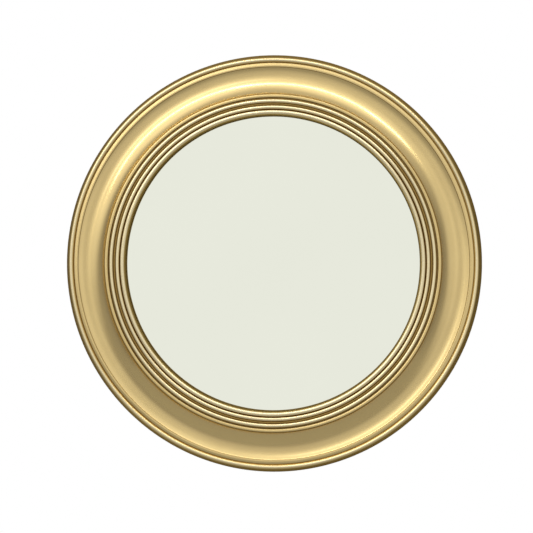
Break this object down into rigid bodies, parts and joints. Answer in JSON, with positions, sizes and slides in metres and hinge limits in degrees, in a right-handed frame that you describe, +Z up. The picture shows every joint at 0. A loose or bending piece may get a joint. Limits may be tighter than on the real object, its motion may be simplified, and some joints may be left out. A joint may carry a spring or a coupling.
{
  "type": "convex wall mirror",
  "caption": "Round convex butler's mirror in a gilded cove frame with a reeded slip, closed at the back by a board under turn buttons and hung from D-rings.",
  "frame": {"origin": "on the mirror's axis, in the plane of the wall that the rear pads rest on", "axes": "+Z up, +X to the right of a person who faces the mirror, -Y out of the wall, the way the glass faces"},
  "size_m": [0.4999, 0.048, 0.5],
  "materials": {
    "gilding": "satin gold leaf lacquer on turned wood",
    "mirror_glass": "silvered on the back",
    "tape": "matt",
    "foam": "matt closed-cell foam",
    "carcase_wood": "plain fibreboard",
    "hardboard": "smooth hardboard",
    "brass_plate": "brushed",
    "nickel_plate": "bright nickel plate",
    "zinc_plate": "zinc plate",
    "pad_rubber": "matt"
  },
  "bodies": {
    "frame": {"front_moulding": "gilding", "reeded_slip": "gilding", "convex_glass": "mirror_glass", "glazing_tape": "tape", "packing_ring": "foam", "back_ring": "carcase_wood", "backboard": "hardboard", "turn_button_screws": "brass_plate", "strap_hanger_left": "nickel_plate", "strap_hanger_right": "nickel_plate", "hanger_screws": "zinc_plate", "frame_screws": "zinc_plate", "wall_pads": "pad_rubber"},
    "turn_button_1": {"turn_button_1": "brass_plate"},
    "turn_button_2": {"turn_button_2": "brass_plate"},
    "turn_button_3": {"turn_button_3": "brass_plate"},
    "turn_button_4": {"turn_button_4": "brass_plate"},
    "turn_button_5": {"turn_button_5": "brass_plate"},
    "turn_button_6": {"turn_button_6": "brass_plate"},
    "d_ring_left": {"d_ring_left": "nickel_plate"},
    "d_ring_right": {"d_ring_right": "nickel_plate"}
  },
  "joints": [
    {"name": "turn_button_1_turn", "type": "hinge", "parent": "frame", "child": "turn_button_1", "pos_m": [0.2015, -0.0043, 0], "axis": [0, 1, 0], "continuous": true},
    {"name": "turn_button_2_turn", "type": "hinge", "parent": "frame", "child": "turn_button_2", "pos_m": [0.10075, -0.0043, 0.1745], "axis": [0, 1, 0], "continuous": true},
    {"name": "turn_button_3_turn", "type": "hinge", "parent": "frame", "child": "turn_button_3", "pos_m": [-0.10075, -0.0043, 0.1745], "axis": [0, 1, 0], "continuous": true},
    {"name": "turn_button_4_turn", "type": "hinge", "parent": "frame", "child": "turn_button_4", "pos_m": [-0.2015, -0.0043, 0], "axis": [0, 1, 0], "continuous": true},
    {"name": "turn_button_5_turn", "type": "hinge", "parent": "frame", "child": "turn_button_5", "pos_m": [-0.10075, -0.0043, -0.1745], "axis": [0, 1, 0], "continuous": true},
    {"name": "turn_button_6_turn", "type": "hinge", "parent": "frame", "child": "turn_button_6", "pos_m": [0.10075, -0.0043, -0.1745], "axis": [0, 1, 0], "continuous": true},
    {"name": "d_ring_right_swing", "type": "hinge", "parent": "frame", "child": "d_ring_right", "pos_m": [0.18279, -0.00289, 0.083], "axis": [0, 0, -1], "range_deg": [0, 168]},
    {"name": "d_ring_left_swing", "type": "hinge", "parent": "frame", "child": "d_ring_left", "pos_m": [-0.18279, -0.00289, 0.083], "axis": [0, 0, 1], "range_deg": [0, 168]}
  ]
}
